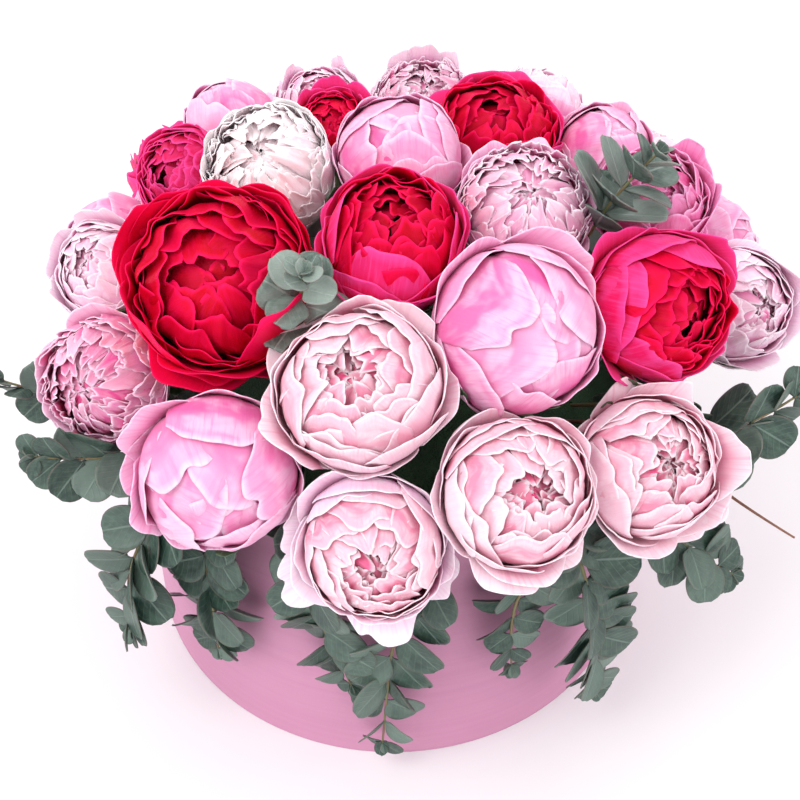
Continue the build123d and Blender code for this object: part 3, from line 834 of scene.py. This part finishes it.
leaf_green = leaf_material("peony_leaf", (0.018, 0.055, 0.022), (0.05, 0.12, 0.045), (0.12, 0.20, 0.10))
stem_green = twig_material("peony_stem", (0.07, 0.15, 0.05), (0.13, 0.20, 0.09))
stems = Mesh()
for number, (centre, radius) in enumerate(balls):
    rng = random.Random(SEPAL_SEED + number)
    reach = float(np.hypot(centre[0], centre[1]))
    height = STEM_FOOT
    if reach > RIM_EDGE:
        slope = (centre[2] - RIM_CLEAR) / (reach - RIM_EDGE)
        height = max(height, RIM_CLEAR - slope * (RIM_EDGE - STEM_LEAN * reach) + FOOT_MARGIN)
    foot = np.array([centre[0] * STEM_LEAN, centre[1] * STEM_LEAN, height])
    axis = (centre - foot) / np.linalg.norm(centre - foot)
    top = centre - axis * radius * CALYX_REACH
    neck = top - axis * CALYX_STARTS
    line = [foot + (neck - foot) * share for share in np.linspace(0, 1, STEM_MARKS)]
    line += [top - axis * CALYX_SWELLS, top]
    radii = [STEM_RADIUS] * STEM_MARKS + [radius * share for share in CALYX_SHARES]
    tube(stems, line, radii, part=0)
    turn = np.array(Vector(axis).to_track_quat("Z", "Y").to_matrix())
    head = {"centre": centre, "radius": radius, "turn": turn, "own": number, "balls": balls, "lumps": []}
    for turns in range(SEPALS):
        azimuth = 360 / SEPALS * turns + rng.uniform(-20, 20)
        sepal(rng, stems, head, azimuth, 1.02, rng.uniform(92, 124), rng.uniform(11, 17))
stems.build("peony_stems_and_sepals", [stem_green, leaf_green], "arrangement", "green_stem", "peony_stems")

# ------------------------------------------------------------------ eucalyptus

TWIG_RADIUS = 0.0012
# a sprig's places are in degrees and millimetres
TWIG_FOOT_RADIUS = 80.892
TWIG_FOOT = 174
TWIG_LEAN = 0.55
OVER_RIM = (147, 212)
GAP_HEIGHT = 290
RIM_LEAFY = 0.76  # the share of a hanging sprig that has leaves
TOP_LEAFY = 0.34
RIM_SEED = 200
TOP_SEED = 300
# node, azimuth of the foot, places past the rim (azimuth, radius, height), length of the
# largest leaf, and space between pairs of leaves
RIM_SPRIGS = [
    ("eucalyptus_front_left", -105, [(-105, 168, 176), (-103, 163, 138), (-98, 162, 86)], 24, 13),
    ("eucalyptus_front", -82, [(-84, 170, 176), (-90, 165, 135), (-91, 163, 78), (-92, 162, 30)], 26, 22),
    ("eucalyptus_front_right", -63, [(-65, 170, 176), (-68, 165, 140), (-66, 163, 88)], 20, 16),
    (
        "eucalyptus_right_hanging", -56,
        [(-57, 182, 176), (-54, 185, 130), (-51, 183, 80), (-50, 181, 50)], 26, 13,
    ),
    ("eucalyptus_right_low", -41, [(-41, 182, 182), (-37, 211, 152), (-33, 222, 134)], 24, 13),
    ("eucalyptus_right", -25, [(-28, 182, 208), (-29, 208, 228), (-22, 226, 236)], 28, 13),
    ("eucalyptus_bare_twig", -32, [(-31, 184, 196), (-34, 216, 194), (-34, 250, 188)], 0, 0),
    ("eucalyptus_left_far", -163, [(-163, 192, 205), (-164, 216, 222)], 24, 12),
    ("eucalyptus_left", -142, [(-145, 186, 208), (-149, 214, 218)], 27, 12),
    ("eucalyptus_left_low", -133, [(-136, 184, 174), (-138, 194, 134), (-139, 194, 92)], 27, 13),
    ("eucalyptus_left_hanging", -125, [(-125, 170, 176), (-126, 166, 124), (-127, 164, 78)], 25, 13),
    ("eucalyptus_rear_right", 27, [(27, 180, 184), (29, 192, 138)], 25, 13),
    ("eucalyptus_rear", 74, [(75, 174, 178), (77, 170, 124), (78, 168, 84)], 26, 14),
    ("eucalyptus_rear_left", 121, [(122, 182, 184), (124, 192, 138)], 25, 13),
]
# node, the gap between flowers that it stands in (x, y), places above the gap (x, y, z),
# length of the largest leaf, and space between pairs of leaves
TOP_SPRIGS = [
    ("eucalyptus_top_right", (101, -25), [(113, -22, 318), (134, -14, 338)], 28, 8),
    ("eucalyptus_top_left", (-44, -85), [(-43, -92, 314), (-40, -100, 334)], 22, 8),
]
LEAF_SIZES = (0.52, 0.72, 0.92, 1.05, 1.14)


def cylindrical(azimuth, radius, height):
    """Return a point in metres from an azimuth, a radius and a height in millimetres."""
    turn = math.radians(azimuth)
    return np.array([radius * math.cos(turn), radius * math.sin(turn), height]) / 1000


def smooth_line(corners, steps=14):
    """Return a smooth line that starts and ends on a route and rounds its corners."""
    points = [corners[0]]
    for number in range(1, len(corners) - 1):
        before = (corners[number - 1] + corners[number]) / 2 if number > 1 else corners[0]
        after = (corners[number] + corners[number + 1]) / 2 if number < len(corners) - 2 else corners[-1]
        for share in np.linspace(0, 1, steps)[1:]:
            a, b, c = (1 - share) ** 2, 2 * share * (1 - share), share**2
            points.append(a * before + b * corners[number] + c * after)
    return np.array(points)


def place_on(line, lengths, distance):
    """Return the point and the direction of a line at a distance along it."""
    point = np.array([np.interp(distance, lengths, line[:, axis]) for axis in range(3)])
    ahead = np.array([np.interp(distance + 0.004, lengths, line[:, axis]) for axis in range(3)])
    behind = np.array([np.interp(distance - 0.004, lengths, line[:, axis]) for axis in range(3)])
    return point, (ahead - behind) / np.linalg.norm(ahead - behind)


def leaf(rng, mesh, root, direction, normal, length, part=0):
    """Add one round cupped leaf on a short stalk, as a thin closed shell."""
    rows, columns = 15, 13
    side, along = np.meshgrid(np.linspace(-1, 1, columns), np.linspace(0, 1, rows))
    body = np.clip((along - 0.10) / 0.90, 0, 1)
    outline = np.sqrt(np.clip(1 - (2 * body - 1.04) ** 2, 0.0, 1)) ** 0.8
    half = 0.47 * length * np.where(along < 0.10, 0.05, np.maximum(outline, 0.05))
    cup = rng.uniform(0.0, 0.14) * length
    droop = rng.uniform(-0.02, 0.16) * length
    wave = 0.02 * length * waves(rng, side, along, [(1.1, 0.7), (2.3, 0.4)])
    lift = cup * (side * half / (0.47 * length)) ** 2 - droop * along**2 * 1.2 + wave * np.abs(side)
    across = np.cross(normal, direction)
    grid = (
        root
        + direction * (length * along)[..., None]
        + across * (side * half)[..., None]
        + normal * lift[..., None]
    )
    grid = make_room(grid, balls, gap=0.0012)
    points, faces = closed_sheet(grid, 0.0006)
    tone = rng.random()
    place = np.stack([side.ravel(), along.ravel(), np.full(side.size, tone)], axis=-1)
    mesh.add(points, faces, np.concatenate([place, place]), np.zeros((len(points), 3)), part)


def buds(rng, mesh, point, direction, count=3):
    """Add a few small closed leaves round the tip of a twig."""
    base = np.cross(direction, (0.2, 0.5, 0.8))
    base = base / np.linalg.norm(base)
    other = np.cross(direction, base)
    for number in range(count):
        turn = 2 * math.pi * number / count + rng.uniform(-0.4, 0.4)
        out = math.cos(turn) * base + math.sin(turn) * other
        ahead = direction * 0.9 + out * 0.45
        ahead = ahead / np.linalg.norm(ahead)
        up = out - ahead * out.dot(ahead)
        face = -up / np.linalg.norm(up)
        leaf(rng, mesh, point - direction * 0.001, ahead, face, rng.uniform(0.007, 0.010))


def sprig(node, corners, largest, spacing, share, seed, upright=False):
    """Make one sprig: a twig that thins to its tip, with its pairs of leaves.

    The leaves of an upright sprig open towards its tip, those of a hanging one face out.
    """
    rng = random.Random(seed)
    line = smooth_line(corners)
    lengths = np.concatenate([[0], np.cumsum(np.linalg.norm(np.diff(line, axis=0), axis=1))])
    total = lengths[-1]
    mesh = Mesh()
    radii = TWIG_RADIUS * (1.0 - 0.5 * (lengths / total) ** 2)
    tube(mesh, line, radii, sides=8, part=1)
    pairs = int(share * total * 1000 / spacing) if spacing else 0
    for pair in range(pairs):
        root, ahead = place_on(line, lengths, total - (2 + pair * spacing) / 1000)
        outward = np.array([root[0], root[1], 0.06])
        outward = outward / np.linalg.norm(outward)
        face = outward - ahead * outward.dot(ahead)
        face = face / np.linalg.norm(face)
        side = np.cross(ahead, face)
        size = largest * LEAF_SIZES[min(pair, len(LEAF_SIZES) - 1)] / 1000
        for hand in (1, -1):
            if upright:
                turn = math.radians((pair % 2) * 90 + rng.uniform(-14, 14))
                out = (side * math.cos(turn) + face * math.sin(turn)) * hand
                rise = math.radians(rng.uniform(12, 48))
                direction = out * math.cos(rise) + ahead * math.sin(rise)
                up = ahead * math.cos(rise) - out * math.sin(rise)
                leaf(rng, mesh, root, direction, up, size * rng.uniform(0.85, 1.12))
                continue
            roll = math.radians((pair % 2) * 26 * hand + rng.uniform(-26, 26))
            spread = math.radians(rng.uniform(18, 46))
            across = (side * math.cos(roll) + face * math.sin(roll)) * hand
            up = face * math.cos(roll) - side * math.sin(roll)
            direction = across * math.cos(spread) + ahead * math.sin(spread)
            tilt = math.radians(rng.uniform(-22, 22))
            up = up * math.cos(tilt) + np.cross(direction, up) * math.sin(tilt)
            leaf(rng, mesh, root, direction, up, size * rng.uniform(0.85, 1.12))
    if spacing:
        buds(rng, mesh, line[-1], place_on(line, lengths, total - 0.002)[1])
    green = silver if upright else eucalyptus
    bark = twig if spacing else bare_bark
    mesh.build(node + "_leaves", [green, bark], "arrangement", "eucalyptus", node)


eucalyptus = leaf_material(
    "eucalyptus_leaf", (0.012, 0.034, 0.028), (0.045, 0.092, 0.066), (0.22, 0.31, 0.26)
)
silver = leaf_material(
    "eucalyptus_silver_leaf", (0.045, 0.085, 0.070), (0.15, 0.21, 0.18), (0.42, 0.50, 0.45)
)
twig = twig_material("eucalyptus_twig", (0.17, 0.21, 0.09), (0.25, 0.15, 0.08))
bare_bark = twig_material("eucalyptus_bare_bark", (0.17, 0.08, 0.05), (0.30, 0.12, 0.08))
for number, (node, azimuth, outside, largest, spacing) in enumerate(RIM_SPRIGS):
    start = cylindrical(azimuth, *OVER_RIM)
    foot = cylindrical(azimuth, TWIG_FOOT_RADIUS, TWIG_FOOT)
    corners = [foot, start] + [cylindrical(*place) for place in outside]
    sprig(node, corners, largest, spacing, RIM_LEAFY, RIM_SEED + number)
for number, (node, gap, above, largest, spacing) in enumerate(TOP_SPRIGS):
    foot = np.array([gap[0] * TWIG_LEAN, gap[1] * TWIG_LEAN, TWIG_FOOT]) / 1000
    corners = [foot, np.array([*gap, GAP_HEIGHT]) / 1000] + [np.array(place) / 1000 for place in above]
    sprig(node, corners, largest, spacing, TOP_LEAFY, TOP_SEED + number, upright=True)

# ------------------------------------------------------------------ the box and what is in it

pink_paper = paper_material("pink_paper", (0.61, 0.28, 0.43), (0.50, 0.19, 0.33), 0.22)
white_paper = paper_material("white_paper", (0.85, 0.84, 0.82), (0.74, 0.72, 0.70), 0.15)
CAD_MATERIALS = {
    "outer_wrap": pink_paper,
    "inner_lining": white_paper,
    "base_cover": white_paper,
    "box_tube": board_material(),
    "liner_tub": liner_material(),
    "foam_lower": foam_material(),
}
CAD_MATERIALS["base_disc"] = CAD_MATERIALS["box_tube"]
CAD_MATERIALS["foam_upper"] = CAD_MATERIALS["foam_lower"]
for node, material in CAD_MATERIALS.items():
    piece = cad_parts[node]
    piece.data.materials.clear()
    piece.data.materials.append(material)

# ------------------------------------------------------------------ floor and light

FLOOR_REACH = 20.0
floor_mesh = bpy.data.meshes.new("floor")
corners = [(x * FLOOR_REACH, y * FLOOR_REACH, 0) for x, y in ((-1, -1), (1, -1), (1, 1), (-1, 1))]
floor_mesh.from_pydata(corners, [], [(0, 1, 2, 3)])
floor = bpy.data.objects.new("floor", floor_mesh)
bpy.context.scene.collection.objects.link(floor)
floor_material, _, floor_shader = new_material("floor_paper", 0.8)
floor_shader.inputs["Base Color"].default_value = (0.86, 0.86, 0.87, 1)
floor_mesh.materials.append(floor_material)


def area_light(name, place, target, size, power):
    """Add a soft square light that points at a target."""
    data = bpy.data.lights.new(name, "AREA")
    data.shape = "SQUARE"
    data.size = size
    data.energy = power
    light = bpy.data.objects.new(name, data)
    light.location = place
    light.rotation_euler = (Vector(target) - Vector(place)).to_track_quat("-Z", "Y").to_euler()
    bpy.context.scene.collection.objects.link(light)


area_light("key_light", (-0.8, -0.9, 1.9), (0, 0, 0.2), 1.0, 17)
area_light("fill_light", (1.3, -0.9, 1.2), (0, 0, 0.2), 1.4, 9)
area_light("back_light", (0.2, 1.5, 1.5), (0, 0, 0.2), 1.2, 8)
area_light("side_light", (-1.5, -0.7, 0.6), (0, 0, 0.1), 0.9, 4)

world = bpy.data.worlds.new("studio")
world.use_nodes = True
world.node_tree.nodes["Background"].inputs["Color"].default_value = (1.0, 0.975, 0.985, 1)
world.node_tree.nodes["Background"].inputs["Strength"].default_value = 0.95
bpy.context.scene.world = world
bpy.context.scene.view_settings.view_transform = "Standard"
